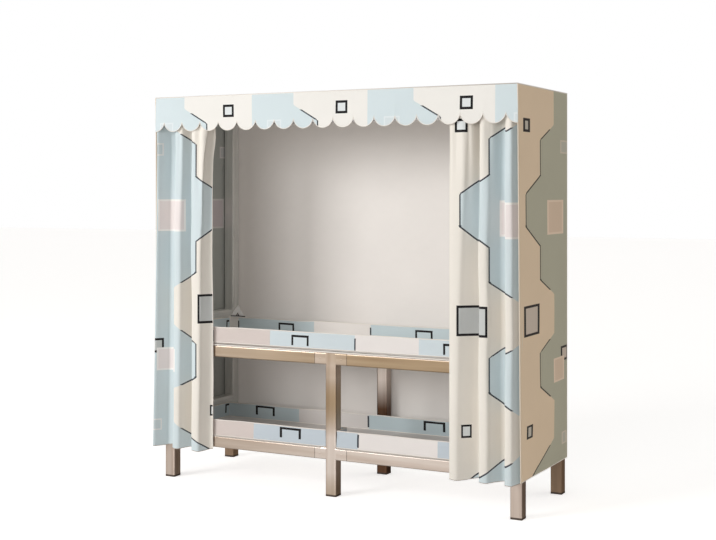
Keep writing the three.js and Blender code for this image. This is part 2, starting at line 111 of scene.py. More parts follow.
# Squares of the print: place in steps and metres, half size in steps and metres, line width, kind
SQUARES = [
    (-1.95, 1.542, 0.235, 0.027, 0.0102, "black"),
    (-1.6, 0.772, 0.53, 0.0605, 0.0098, "black_grey"),
    (-1.75, 0.335, 0.2, 0.0262, 0.0078, "black"),
    (0.82, 0.6, 0.3, 0.031, 0.0092, "black_grey"),
    (0.12, 1.176, 0.62, 0.071, 0.0085, "rose"),
    (0.81, 1.47, 0.3, 0.028, 0.0065, "pale"),
    (0.38, 0.54, 0.42, 0.05, 0.0075, "rose"),
    (0.8, 0.243, 0.19, 0.026, 0.006, "pale"),
]
RIGHT_ROSE = (0.02, 1.176, 0.62, 0.071, 0.0085, "rose")

# Where the print starts along each panel, and how far the valance's is lifted
SIDE_BASE = 0.125
VALANCE_BASE = -0.143
VALANCE_LIFT = 0.089
LEFT_BASE = -0.7735
RIGHT_BASE = 0.842


def tone(red, green, blue):
    """A display colour, 0 to 255, as the shader's own values."""
    def open_up(value):
        share = value / 255
        return share / 12.92 if share <= 0.04045 else ((share + 0.055) / 1.055) ** 2.4
    return (open_up(red), open_up(green), open_up(blue), 1)


# Node arithmetic

def math_node(operation):
    def apply(value, *others):
        return value.nodes.math(operation, value, *others)
    return apply


class Value:
    """One output of a node tree. Arithmetic on it adds Math nodes."""

    def __init__(self, nodes, socket):
        self.nodes = nodes
        self.socket = socket

    def __rsub__(self, other):
        return self.nodes.math("SUBTRACT", other, self)

    __add__ = __radd__ = math_node("ADD")
    __sub__ = math_node("SUBTRACT")
    __mul__ = __rmul__ = math_node("MULTIPLY")
    __gt__ = math_node("GREATER_THAN")
    __lt__ = math_node("LESS_THAN")
    __abs__ = math_node("ABSOLUTE")


class Nodes:
    """A node tree, and how nodes are added to it."""

    def __init__(self, tree):
        self.tree = tree

    def add(self, kind, inputs=None, settings=None):
        node = self.tree.nodes.new(kind)
        for key, value in (settings or {}).items():
            setattr(node, key, value)
        for key, value in (inputs or {}).items():
            if isinstance(value, Value):
                self.tree.links.new(value.socket, node.inputs[key])
            else:
                node.inputs[key].default_value = value
        return node

    def value(self, kind, inputs=None, settings=None, output=0):
        return Value(self, self.add(kind, inputs, settings).outputs[output])

    def outputs(self, kind, inputs=None, settings=None):
        """All outputs of a new node by their names."""
        node = self.add(kind, inputs, settings)
        return {output.name: Value(self, output) for output in node.outputs}

    def numbers(self, vector):
        return self.outputs("ShaderNodeSeparateXYZ", {"Vector": vector}).values()

    def math(self, operation, *values):
        return self.value("ShaderNodeMath", dict(enumerate(values)), {"operation": operation})

    def clamped(self, value):
        return self.value("ShaderNodeClamp", {"Value": value})

    def mixed(self, factor, first, second, blend="MIX"):
        kind = {"data_type": "RGBA", "blend_type": blend}
        return self.value("ShaderNodeMix", {0: factor, 6: first, 7: second}, kind, output=2)

    def cloud(self, vector, scale, detail=3.0):
        return self.value("ShaderNodeTexNoise", {"Vector": vector, "Scale": scale, "Detail": detail})

    def ramp(self, factor, stops, interpolation="LINEAR"):
        node = self.add("ShaderNodeValToRGB", {"Fac": factor})
        ramp = node.color_ramp
        ramp.interpolation = interpolation
        while len(ramp.elements) < len(stops):
            ramp.elements.new(0.5)
        for element, (place, level) in zip(ramp.elements, stops):
            element.position = place
            element.color = (level, level, level, 1)
        return Value(self, node.outputs[0])


def new_finish(name, settings):
    """A material with one Principled shader and its fixed values."""
    material = bpy.data.materials.new(name)
    material.use_nodes = True
    tree = material.node_tree
    shader = tree.nodes["Principled BSDF"]
    for key, value in settings.items():
        shader.inputs[key].default_value = value
    return material, Nodes(tree), shader


def feed(value, shader, key):
    value.nodes.tree.links.new(value.socket, shader.inputs[key])


# The print

def band_edge(nodes, height):
    """How far the band's edge stands out at a height, in steps, and how steep it is."""
    most = max(depth for place, depth in BAND_STEPS)
    share = height * (1 / PRINT_HEIGHT)
    depth = nodes.ramp(share, [(place / PRINT_HEIGHT, out / most) for place, out in BAND_STEPS]) * most
    slants = []
    for (low, first), (_, second) in zip(BAND_STEPS, BAND_STEPS[1:]):
        slants.append((low / PRINT_HEIGHT, SLANT if first != second else 1.0))
    return depth, nodes.ramp(share, slants, "CONSTANT")


# The cloth's weave, creases and wear, and a glow that is painted light
WEAVE_PITCH = 0.0011
WEAVE_HEIGHT = 0.00008
CREASES = 0.0016
VALANCE_CREASES = 0.0008
TRAY_CREASES = 0.0012
WORN_LEVELS = (0.95, 1.03)
# Painted light: how strongly the lining, the sides' lining and the trays glow, to brighten the shaded inside
LINING_PAINTED_GLOW = 0.055
SIDE_LINING_PAINTED_GLOW = 0.02
TRAY_PAINTED_GLOW = 0.05


def object_place(nodes):
    """The place on the piece in metres."""
    return nodes.value("ShaderNodeTexCoord", output=3)


def bumped(shader, relief, strength, distance):
    inputs = {"Strength": strength, "Distance": distance, "Height": relief}
    feed(relief.nodes.value("ShaderNodeBump", inputs), shader, "Normal")


def worn(nodes, chart, colour):
    """The colour with the faint unevenness of washed cloth."""
    low, high = WORN_LEVELS
    patches = nodes.cloud(chart, scale=3.2, detail=5.0)
    specks = nodes.cloud(chart, scale=420.0, detail=2.0)
    level = patches * (high - low) * 1.4 + (low - 0.2 * (high - low)) + (specks - 0.5) * 0.03
    return nodes.mixed(1.0, colour, level, "MULTIPLY")


def cloth_finish(name, paint, roughness, creases=CREASES, sheen=0.12, glow=0.0, glow_colour=None, matt=True):
    """Woven cloth, painted by its own coordinates in metres. Its glow, in its colour or a given one, is
    painted light that brightens it where it lies in shade; matt cloth is rougher in patches."""
    material, nodes, shader = new_finish(name, {
        "Sheen Weight": sheen, "Sheen Roughness": 0.5, "Specular IOR Level": 0.25, "Roughness": roughness,
        "Emission Strength": glow,
    })
    chart = nodes.value("ShaderNodeUVMap", settings={"uv_map": "cloth"})
    along, height, _ = nodes.numbers(chart)
    colour = worn(nodes, chart, paint(nodes, chart, along, height))
    feed(colour, shader, "Base Color")
    if glow_colour:
        shader.inputs["Emission Color"].default_value = glow_colour
    elif glow:
        feed(colour, shader, "Emission Color")
    if matt:
        feed(nodes.cloud(chart, scale=60.0) * 0.12 + (roughness - 0.06), shader, "Roughness")
    turns = 2 * math.pi / WEAVE_PITCH
    threads = nodes.math("SINE", along * turns) * nodes.math("SINE", height * turns)
    crease = nodes.cloud(chart, scale=9.0, detail=4.0)
    bumped(shader, threads * WEAVE_HEIGHT + crease * creases, strength=0.55, distance=1.0)
    return material


def printed_finish(name, colours, base, step=STEP, way=1, lift=0.0, rim_step=STEP, squares=SQUARES, **more):
    """Cloth printed with stepped bands and with squares, whose rims are measured along in rim steps.
    The print starts at base, runs the given way and is lifted by lift."""
    def paint(nodes, chart, along, height):
        level = height - lift
        raw = (along - base) * (way / step)
        lowest = BAND_WIDTH - PRINT_PERIOD
        across = nodes.math("FLOORED_MODULO", raw - lowest, PRINT_PERIOD) + lowest
        depth, upright = band_edge(nodes, level)
        from_edge = across + depth
        colour = nodes.mixed(from_edge > 0, colours["cream"], colours["blue"])
        line = (abs(from_edge) * upright < LINE / 2 / STEP) * (depth > NO_LINE_BELOW)
        colour = nodes.mixed(line, colour, colours["line"])
        for x, z, half_along, half_height, width, kind in squares:
            beside = abs(across - x) * rim_step - half_along * rim_step
            away = nodes.math("MAXIMUM", beside, abs(level - z) - half_height)
            rim, fill = colours[kind]
            colour = nodes.mixed(away < 0, colour, rim)
            colour = nodes.mixed(away < -width, colour, fill)
        return colour
    return cloth_finish(name, paint, roughness=0.82, **more)


def darker(colour, share):
    return [part * share for part in colour[:3]] + [1]


def plain_finish(name, colour):
    def paint(nodes, chart, along, height):
        return nodes.mixed(nodes.cloud(chart, scale=26.0), colour, darker(colour, 0.97))
    return cloth_finish(name, paint, roughness=0.84, glow=LINING_PAINTED_GLOW, glow_colour=colour)


# Print of the trays: each wall's first bar and scale, then one repeat, the blue part's end, the bar,
# and the open square's middle and size
LOW_BARS = {"front_bar": 0.126, "back_bar": -0.044, "scale": 1.235}
MID_BARS = {"front_bar": 0.112, "back_bar": -0.74, "scale": 1.0}
REPEAT = 0.707
REPEAT_EARLY = 0.02
BLUE_END = 0.413
BAR_MIDDLE = -0.001
BAR_HALF = 0.0035
BAR_LOW, BAR_HIGH = 0.012, 0.066
OPEN_SQUARE = 0.2635
OPEN_SQUARE_HALF = 0.0425
OPEN_SQUARE_LOW, OPEN_SQUARE_HIGH = 0.022, 0.067
OPEN_SQUARE_LINE = 0.0095

# Where a tray's floor and tabs lie in its chart; the walls lie above 0
FLOOR_CHART = -0.4
TAB_CHART = -1.0
TAB_CHART_TOP = -0.9


def tray_finish(name, colours, front_bar, back_bar, scale):
    """The trays' bands: a black bar, blue with an open square, cream. The back wall has them mirrored.
    The front's cream has painted shade at its left end; the back wall has copies of cream and blue toned
    to its light and shade.
    """
    def paint(nodes, chart, along, height):
        _, y, _ = nodes.numbers(object_place(nodes))
        behind = y > 0.0
        from_bar = (along - back_bar) * behind + (front_bar - along) * (1 - behind)
        place = nodes.math("FLOORED_MODULO", from_bar * (1 / scale) + REPEAT_EARLY, REPEAT) - REPEAT_EARLY
        wall = height > 0.0
        # Painted shade: the front's cream darkens towards the left end
        cream = nodes.mixed(nodes.clamped(along * 3 + 0.9), colours["cream"], colours["far_cream"])
        # Painted light and shade: the back wall takes copies of cream and blue toned to the light on it
        cream = nodes.mixed(behind, cream, colours["deep_cream"])
        cream = nodes.mixed(height < TAB_CHART_TOP, cream, colours["tab"])
        blue_side = nodes.mixed(behind, colours["blue"], colours["deep_blue"])
        colour = nodes.mixed((place > 0.0) * (place < BLUE_END) * wall, cream, blue_side)
        bar = (abs(place - BAR_MIDDLE) < BAR_HALF) * wall * (height > BAR_LOW) * (height < BAR_HIGH)
        colour = nodes.mixed(bar, colour, colours["line"])
        away = nodes.math("MAXIMUM", abs(place - OPEN_SQUARE) - OPEN_SQUARE_HALF, height - OPEN_SQUARE_HIGH)
        colour = nodes.mixed((away < 0) * (height > OPEN_SQUARE_LOW), colour, BLACK)
        return nodes.mixed((away < -OPEN_SQUARE_LINE) * wall, colour, blue_side)
    return cloth_finish(
        name, paint, roughness=0.8, creases=TRAY_CREASES, sheen=0.1, glow=TRAY_PAINTED_GLOW, matt=False)


BLACK = tone(22, 20, 22)
# The sides' black, warm as in their painted shade
SIDE_SHADED_BLACK = tone(24, 16, 10)
FRONT_COLOURS = {
    "cream": tone(243, 240, 234), "blue": tone(216, 228, 231), "line": tone(58, 62, 70),
    "black": (BLACK, tone(228, 232, 232)), "black_grey": (BLACK, tone(206, 208, 206)),
    "rose": (tone(252, 248, 244), tone(243, 234, 231)), "pale": (tone(228, 236, 238), tone(218, 227, 229)),
}
CURTAIN_COLOURS = dict(
    FRONT_COLOURS, cream=tone(243, 237, 227), pale=(tone(240, 240, 238), tone(214, 224, 226)))
# The sides' print in warmer, darker tones: painted shade on top of the real shade the lamps give them
SIDE_SHADED_COLOURS = {
    "cream": tone(236, 213, 184), "blue": tone(186, 184, 164), "line": tone(52, 42, 34),
    "black": (SIDE_SHADED_BLACK, tone(200, 194, 182)), "black_grey": (SIDE_SHADED_BLACK, tone(210, 196, 182)),
    "rose": (tone(238, 216, 194), tone(226, 202, 178)), "pale": (tone(214, 204, 188), tone(194, 192, 178)),
}
INSIDE_BLACK = tone(150, 150, 150)
INSIDE_COLOURS = {
    "cream": tone(196, 193, 188), "blue": tone(176, 180, 176), "line": tone(150, 150, 148),
    "black": (INSIDE_BLACK, tone(206, 206, 204)), "black_grey": (INSIDE_BLACK, tone(196, 196, 196)),
    "rose": (tone(218, 216, 214), tone(208, 200, 202)), "pale": (tone(218, 216, 214), tone(200, 202, 202)),
}
# The trays' colours: the front's cream in painted shade at its left end and lit to its right, and the back
# wall's own copies of cream and blue, painted light and shade
TRAY_COLOURS = {
    "cream": tone(212, 200, 194), "far_cream": tone(232, 226, 222), "blue": tone(206, 216, 220),
    "line": tone(58, 62, 70), "deep_cream": tone(234, 229, 224), "deep_blue": tone(200, 214, 218),
    "tab": tone(252, 250, 248),
}
# The low tray: the same cloth with its blue and back-wall tones darker, painted shade
LOW_TRAY_SHADED_COLOURS = dict(
    TRAY_COLOURS, blue=tone(194, 203, 210), deep_cream=tone(214, 209, 205), deep_blue=tone(189, 203, 207))

# Steel: its grain along each axis, its two tints, the browns that multiply them as painted shade,
# and the seams between arms and rails
ALONG_X = (3, 420, 420)
ALONG_Y = (420, 3, 420)
ALONG_Z = (420, 420, 3)
TAN = (tone(228, 217, 208), tone(202, 186, 174))
# Painted light and reflection: steel inside is tinted pale grey, for the grey cloth it mirrors and to lift
# its shade
PAINTED_INSIDE_GREY = (tone(250, 251, 248), tone(226, 227, 224))
# Browns that multiply the steel as painted shade
SHADE_BROWN = tone(196, 181, 168)
RAIL_SHADE_BROWN = tone(193, 178, 152)
LEG_SHADE_BROWN = tone(154, 126, 102)
FOOT_SHADE_BROWN = tone(118, 92, 74)
SEAM_COLOUR = tone(70, 56, 46)
TUBE_EDGE = 0.0255
SEAM_X = 0.0765
SEAM_HALF = 0.0009
SEAMS_END = 1.2

# Heights at which the painted shade on the steel changes
LEG_TOP = 0.2
BETWEEN_RAILS = 0.4
FAR_LEG_TOP = 0.43
GREY_LEG_TOP = 0.17
MID_ARMS = 0.6


def brushed(nodes, place, grain):
    """Fine and wide streaks along one axis."""
    wide_grain = [part * 0.11 + 1.5 for part in grain]
    fine = nodes.value("ShaderNodeMapping", {"Vector": place, "Scale": grain})
    wide = nodes.value("ShaderNodeMapping", {"Vector": place, "Scale": wide_grain})
    return nodes.cloud(fine, scale=1.0, detail=4.0), nodes.cloud(wide, scale=1.0, detail=2.0)


def swell(value, middle, reach):
    """1 at the middle value, falling smoothly to 0 at the reach from it."""
    off = (value - middle) * (1 / reach)
    return value.nodes.clamped(1 - off * off)


def rails_painted_shade(x, z):
    """Painted shade on the rails: the middle rails to the right and the low ones to the left, but not the
    middle rails' tops, which stay pale as a painted highlight.
    """
    middle = (z > BETWEEN_RAILS) * (x * 0.81 + 0.78)
    return middle + 0.15 - 0.45 * x - (z > MID_RAIL_TOP - 0.003)


def uprights_painted_shade(x, z):
    """Painted shade on the uprights: between the rails, at the middle arms more to the right, and a little
    at the foot.
    """
    return (swell(z, BETWEEN_RAILS, 0.15) + swell(z, MID_ARMS, 0.1) * (x * 2 + 0.68)
            + swell(z, -0.03, 0.13) * 0.7)


def steel_finish(name, grain, tints, painted_shade=None, metal=0.92, seamed=False, shade_tone=SHADE_BROWN):
    """Brushed steel in two tints, with painted shade: browner where the given function of x and z is 1, as
    the photograph shows it. The streaks run along the tube. Seamed steel has the arms' grain and the seams
    of the rails."""
    light, dark = tints
    material, nodes, shader = new_finish(name, {
        "Metallic": metal, "Specular IOR Level": 0.5, "Roughness": 0.34,
    })
    place = object_place(nodes)
    x, _, z = nodes.numbers(place)
    brush, wide = brushed(nodes, place, grain)
    if seamed and grain == ALONG_Z:
        arm = (abs(x) > TUBE_EDGE) * (abs(x) < 2 * SEAM_X)
        arm_brush, arm_wide = brushed(nodes, place, ALONG_X)
        brush = arm_brush * arm + brush * (1 - arm)
        wide = arm_wide * arm + wide * (1 - arm)
    patches = nodes.cloud(place, scale=5.0)
    colour = nodes.mixed(nodes.clamped((wide - 0.5) * 2.2 + 0.5), dark, light)
    colour = nodes.mixed(brush * 0.4, colour, darker(dark, 0.8))
    if painted_shade:
        colour = nodes.mixed(nodes.clamped(painted_shade(x, z)), colour, shade_tone, "MULTIPLY")
    if seamed:
        seam = (abs(abs(x) - SEAM_X) < SEAM_HALF) * (z < SEAMS_END)
        colour = nodes.mixed(seam, colour, SEAM_COLOUR)
    feed(colour, shader, "Base Color")
    feed(brush * 0.16 + patches * 0.08 + 0.22, shader, "Roughness")
    bumped(shader, brush, strength=0.25, distance=0.0002)
    return material


def flecked_finish(name, settings, colours, scale, detail, rough, relief=None):
    """Flecks in the colour and the roughness (its least and its gain), and a fine grain in relief."""
    material, nodes, shader = new_finish(name, settings)
    place = object_place(nodes)
    flecks = nodes.cloud(place, scale, detail)
    feed(nodes.mixed(flecks, *colours), shader, "Base Color")
    feed(flecks * rough[1] + rough[0], shader, "Roughness")
    if relief:
        grain, strength = relief
        bumped(shader, nodes.cloud(place, grain, detail=2.0), strength, distance=0.0003)
    return material


def trim_finish(name, colour, shade):
    """Cord and thread, with a fine twist."""
    return flecked_finish(name, {
        "Sheen Weight": 0.2, "Sheen Roughness": 0.4, "Specular IOR Level": 0.3, "Roughness": 0.7,
    }, (colour, shade), scale=700.0, detail=2.0, rough=(0.6, 0.2), relief=(700.0, 0.5))


cover_finish = printed_finish("cover_finish", FRONT_COLOURS, base=0.0)
side_finish = printed_finish(
    "side_finish", SIDE_SHADED_COLOURS, base=SIDE_BASE, step=SIDE_STEP, rim_step=SIDE_RIM_STEP)
valance_finish = printed_finish(
    "valance_finish", FRONT_COLOURS, base=VALANCE_BASE, way=-1, lift=VALANCE_LIFT, creases=VALANCE_CREASES)
left_curtain_finish = printed_finish(
    "left_curtain_finish", CURTAIN_COLOURS, base=LEFT_BASE, way=-1, squares=SQUARES[1:])
right_curtain_finish = printed_finish(
    "right_curtain_finish", CURTAIN_COLOURS, base=RIGHT_BASE, squares=SQUARES[:4] + [RIGHT_ROSE, SQUARES[5]])
lining_finish = plain_finish("lining_finish", tone(240, 235, 230))
side_lining_finish = printed_finish(
    "side_lining_finish", INSIDE_COLOURS, base=SIDE_BASE, step=SIDE_STEP, glow=SIDE_LINING_PAINTED_GLOW)
tray_low_finish = tray_finish("tray_low_finish", LOW_TRAY_SHADED_COLOURS, **LOW_BARS)
tray_mid_finish = tray_finish("tray_mid_finish", TRAY_COLOURS, **MID_BARS)
binding_finish = trim_finish("binding_finish", tone(236, 222, 204), tone(222, 206, 186))
# Near-black cords at the tabs: painted shadow
tab_loop_finish = trim_finish("tab_loop_finish", tone(44, 38, 38), tone(28, 24, 26))
cord_finish = trim_finish("cord_finish", tone(246, 241, 234), tone(232, 225, 216))
# A grey-tan tone for cords that are painted shade lines
hem_finish = trim_finish("hem_finish", tone(196, 188, 180), tone(176, 168, 160))
thread_finish = trim_finish("thread_finish", tone(238, 232, 224), tone(214, 206, 196))
steel_x = steel_finish("steel_x", ALONG_X, TAN, rails_painted_shade, seamed=True, shade_tone=RAIL_SHADE_BROWN)
steel_y = steel_finish("steel_y", ALONG_Y, PAINTED_INSIDE_GREY, metal=0.6)
# Front posts: painted shade, a little on the legs and more above them
steel_z = steel_finish("steel_z", ALONG_Z, TAN, lambda x, z: (z > LEG_TOP) * 0.6 + 0.35)
steel_z_arms = steel_finish("steel_z_arms", ALONG_Z, TAN, uprights_painted_shade, seamed=True, shade_tone=RAIL_SHADE_BROWN)
# Far centre upright and back posts: painted shade on their lower parts
steel_z_far = steel_finish(
    "steel_z_far", ALONG_Z, TAN, lambda x, z: (FAR_LEG_TOP - z) * 7.5, seamed=True, shade_tone=FOOT_SHADE_BROWN)
steel_z_grey = steel_finish(
    "steel_z_grey", ALONG_Z, PAINTED_INSIDE_GREY, lambda x, z: (GREY_LEG_TOP - z) * 40, metal=0.35, shade_tone=LEG_SHADE_BROWN)
chrome = flecked_finish(
    "chrome_finish", {"Metallic": 1.0, "Roughness": 0.12}, (tone(226, 228, 230), tone(200, 202, 205)),
    scale=38.0, detail=4.0, rough=(0.05, 0.2))
foot_plastic = flecked_finish(
    "foot_finish", {"Roughness": 0.6, "Specular IOR Level": 0.4}, (tone(58, 46, 40), tone(86, 72, 60)),
    scale=46.0, detail=5.0, rough=(0.42, 0.3), relief=(900.0, 0.4))


# Meshes

SHARP_DEGREES = 45
CORD_SIDES = 8


def waver(point, size, height, seed=0.0):
    """A smooth uneven offset of about the given height, the same at each run."""
    return noise.noise(Vector(point) / size + Vector((seed, 2 * seed, 3.7))) * height


def clamp(value):
    return min(1, max(0, value))


def arch(share):
    """0 at both ends of a stretch and beyond them, 1 in its middle."""
    return max(0.0, math.sin(math.pi * clamp(share)))


def new_piece(name, data):
    piece = bpy.data.objects.new(name, data)
    bpy.context.scene.collection.objects.link(piece)
    return piece


def settle(piece):
    """Applies the piece's modifiers to its mesh."""
    bpy.context.view_layer.update()
    graph = bpy.context.evaluated_depsgraph_get()
    mesh = bpy.data.meshes.new_from_object(piece.evaluated_get(graph))
    piece.modifiers.clear()
    piece.data = mesh
    mesh.name = piece.name


def cloth_piece(name, patches, finishes):
    """A sheet of cloth from patches of its middle surface.
    A patch is columns, rows, place(s, t) and chart(s, t, point), the cloth's coordinates in metres."""
    points, charts, faces = [], [], []
    for columns, rows, place, chart in patches:
        first = len(points)
        for row in range(rows + 1):
            for column in range(columns + 1):
                s, t = column / columns, row / rows
                point = place(s, t)
                points.append(point)
                charts.append(chart(s, t, point))
        for row in range(rows):
            for column in range(columns):
                corner = first + row * (columns + 1) + column
                faces.append((corner, corner + 1, corner + columns + 2, corner + columns + 1))
    mesh = bpy.data.meshes.new(name)
    mesh.from_pydata(points, [], faces)
    layer = mesh.uv_layers.new(name="cloth")
    for loop in mesh.loops:
        layer.data[loop.index].uv = charts[loop.vertex_index]
    for finish in finishes:
        mesh.materials.append(finish)
    piece = new_piece(name, mesh)
    shell = piece.modifiers.new("shell", "SOLIDIFY")
    shell.thickness = CLOTH
    shell.offset = 0
    if len(finishes) > 1:
        shell.material_offset = 1
    settle(piece)
    for face in piece.data.polygons:
        face.use_smooth = True
    piece.data.set_sharp_from_angle(angle=math.radians(SHARP_DEGREES))
    return piece


def path_tree(name, sizes, build):
    """A tree that grows trim along a path. Its sizes are named inputs."""
    tree = bpy.data.node_groups.new(name, "GeometryNodeTree")
    for label, way, kind in [
        ("Path", "INPUT", "Geometry"), *((size, "INPUT", "Float") for size in sizes),
        ("Finish", "INPUT", "Material"), ("Trim", "OUTPUT", "Geometry"),
    ]:
        tree.interface.new_socket(name=label, in_out=way, socket_type="NodeSocket" + kind)
    nodes = Nodes(tree)
    socket = nodes.outputs("NodeGroupInput")
    curve = nodes.value("GeometryNodeMeshToCurve", {"Mesh": socket["Path"]})
    grown = build(nodes, curve, socket)
    real = nodes.value("GeometryNodeRealizeInstances", {"Geometry": grown})
    smooth = nodes.value("GeometryNodeSetShadeSmooth", {"Geometry": real})
    made = nodes.value("GeometryNodeSetMaterial", {"Geometry": smooth, "Material": socket["Finish"]})
    nodes.add("NodeGroupOutput", {"Trim": made})
    return tree


def build_cord(nodes, curve, socket):
    """A round cord with closed ends."""
    ring = nodes.value(
        "GeometryNodeCurvePrimitiveCircle", {"Resolution": CORD_SIDES, "Radius": socket["Radius"]})
    return nodes.value("GeometryNodeCurveToMesh", {"Curve": curve, "Profile Curve": ring, "Fill Caps": True})


def build_stitches(nodes, curve, socket):
    """Long beads along the path, one at each step of the pitch."""
    steps = nodes.outputs(
        "GeometryNodeCurveToPoints", {"Curve": curve, "Length": socket["Pitch"]}, {"mode": "LENGTH"})
    bead = nodes.value("GeometryNodeMeshIcoSphere", {"Radius": 1.0, "Subdivisions": 1})
    scale = nodes.value("ShaderNodeCombineXYZ", {
        "X": socket["Thickness"], "Y": socket["Thickness"], "Z": socket["Half Length"],
    })
    stitch = nodes.value("GeometryNodeTransform", {"Geometry": bead, "Scale": scale})
    return nodes.value("GeometryNodeInstanceOnPoints", {
        "Points": steps["Points"], "Instance": stitch, "Rotation": steps["Rotation"],
    })


cord_tree = path_tree("cord_along_path", ["Radius"], build_cord)
stitch_tree = path_tree("stitches_along_path", list(STITCH), build_stitches)


def trim_piece(name, paths, tree, sizes, finish, closed):
    """Trim grown along paths by a tree, made a plain mesh. Closed paths run back to their start."""
    points, edges = [], []
    for path in paths:
        first = len(points)
        points.extend(path)
        edges.extend((first + i, first + i + 1) for i in range(len(path) - 1))
        if closed:
            edges.append((len(points) - 1, first))
    mesh = bpy.data.meshes.new(name)
    mesh.from_pydata(points, edges, [])
    piece = new_piece(name, mesh)
    grower = piece.modifiers.new("grower", "NODES")
    grower.node_group = tree
    given = dict(sizes, Finish=finish)
    for item in tree.interface.items_tree:
        if item.name in given:
            grower[item.identifier] = given[item.name]
    settle(piece)
    shape = bmesh.new()
    shape.from_mesh(piece.data)
    bmesh.ops.recalc_face_normals(shape, faces=shape.faces)
    shape.to_mesh(piece.data)
    shape.free()
    return piece


def cord_piece(name, paths, radius, finish=cord_finish, closed=False):
    return trim_piece(name, paths, cord_tree, {"Radius": radius}, finish, closed)


def stitch_piece(name, paths, closed=False):
    return trim_piece(name, paths, stitch_tree, STITCH, thread_finish, closed)


def dressed(piece, slot, *nodes):
    """The piece rides on the frame and stands for the nodes; its slot is not used."""
    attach(piece, "frame")
    if nodes:
        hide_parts(*nodes)


def moved(points, x=0.0, y=0.0, z=0.0):
    return [Vector((point.x + x, point.y + y, point.z + z)) for point in points]


def edge_of(place, s=None, t=None, steps=80):
    """A line of points across a patch where s or t is given."""
    shares = [i / steps for i in range(steps + 1)]
    return [Vector(place(share if s is None else s, share if t is None else t)) for share in shares]


# Cover: top

CORNERS = ((-1, -1), (1, -1), (1, 1), (-1, 1))
SIDES = (("left", -1), ("right", 1))


def slack(x, y):
    """How far the top cloth hangs below its edges between the rails."""
    across = arch((y - RAIL_INNER_Y) / TOP_REACH)
    return TOP_SLACK * arch((abs(x) - TOP_BAY[0]) / TOP_BAY[1]) ** 0.7 * across ** 0.8


def top_place(s, t):
    x = (2 * s - 1) * HALF_WIDTH
    y = (2 * t - 1) * HALF_DEPTH
    inside = min(1, (1 - abs(2 * s - 1)) * 12) * min(1, (1 - abs(2 * t - 1)) * 5)
    ripple = waver((x, y, 0), size=0.11, height=0.0016) * inside * min(1, slack(x, y) * 400)
    return (x, y, TOP - TOP_INSET - slack(x, y) + ripple)


cover_top = cloth_piece("cover_top_cloth", [
    (110, 40, top_place, lambda s, t, p: (p[0], p[1] + 0.9)),
], [cover_finish, lining_finish])
dressed(cover_top, "cover_cloth", "cover_top")

# Cover: back and sides

def back_place(s, t):
    x = (1 - 2 * s) * (HALF_WIDTH - BACK_EDGE_INSET)
    z = HEM + (PANEL_TOP - HEM) * t
    free = (1 - t) ** 0.6 * (1 - abs(2 * s - 1) ** 6)
    y = HALF_DEPTH - PANEL_INSET + (waver((x, 0, z), size=0.3, height=0.004, seed=1.0) + 0.0022) * free
    return (x, y, z)


cover_back = cloth_piece("cover_back_cloth", [
    (100, 80, back_place, lambda s, t, p: (p[0], p[2])),
], [cover_finish, lining_finish])
dressed(cover_back, "cover_cloth", "cover_back")


def flare(side, forward, down):
    """How far the left side's front lower corner stands out."""
    if side > 0:
        return 0.0
    return LEFT_FLARE * max(0, forward) ** 2 * max(0, down) ** 1.4


def side_place(side):
    """The left (-1) or right (1) side. Its front edge stands back towards the hem."""
    def place(s, t):
        front = -HALF_DEPTH + SIDE_EDGE_INSET + SIDE_SETBACK * (1 - t)
        back = HALF_DEPTH - SIDE_EDGE_INSET
        forward = s if side < 0 else 1 - s
        y = back + (front - back) * forward
        z = HEM + (PANEL_TOP - HEM) * t
        free = (1 - t) ** 0.6 * math.sin(math.pi * clamp(s)) ** 0.5
        ripple = waver((0.3 * side, y, z), size=0.24, height=0.0042, seed=2.0)
        out = HALF_WIDTH - PANEL_INSET + (ripple + 0.0021) * free + flare(side, forward, 1 - t)
        return (side * out, y, z)
    return place


for name, side in SIDES:
    piece = cloth_piece(f"cover_{name}_cloth", [
        (44, 80, side_place(side), lambda s, t, p: (p[1], p[2])),
    ], [side_finish, side_lining_finish])
    dressed(piece, "cover_cloth", f"cover_{name}")

# Valance

def scallop_drop(share):
    """The valance's lower edge at a share of its width: the place along it and the drop to the arc."""
    half = HALF_WIDTH / SCALLOPS
    radius = (half * half + SCALLOP_DEPTH ** 2) / (2 * SCALLOP_DEPTH)
    widest = math.asin(half / radius)
    count = share * SCALLOPS + 0.5
    index = min(math.floor(count), SCALLOPS)
    turn = (2 * (count - index) - 1) * widest
    along = index * 2 * half + radius * math.sin(turn)
    return along - HALF_WIDTH, VALANCE_HEM + radius * (1 - math.cos(turn))


def valance_place(s, t):
    x, lowest = scallop_drop(s)
    z = lowest + (PANEL_TOP - lowest) * t
    ripple = waver((x, 0, 0.4 * z), size=0.13, height=0.006, seed=4.0)
    return (x, -HALF_DEPTH + PANEL_INSET - (ripple + 0.002) * (1 - t) ** 0.8, z)


valance = cloth_piece("valance_cloth", [
    (VALANCE_STEPS, 16, valance_place, lambda s, t, p: (p[0], p[2])),
], [valance_finish, lining_finish])
dressed(valance, "valance_cloth", "valance")

# Curtains

# A pleat from its ridge: the fall behind it as shares of the span, and the tuck as share of the width,
# share of the tuck and how far back it stands; -1 is the front of the folds and 1 the back
PLEAT_RISE = [(0.0, 0.0, -0.62), (0.03, 0.0, -0.9)]
PLEAT_FALL = [(0.26, -0.5), (0.48, 0.0), (0.7, 0.48), (0.9, 0.82)]
PLEAT_TUCK = [
    (0.93, 0.0, 0.94), (1.0, 0.45, 0.94), (1.0, 0.8, 0.92), (1.0, 1.0, 0.74), (1.0, 0.86, 0.5),
    (1.0, 0.46, 0.2), (1.0, 0.16, -0.1), (1.0, 0.0, -0.38),
]


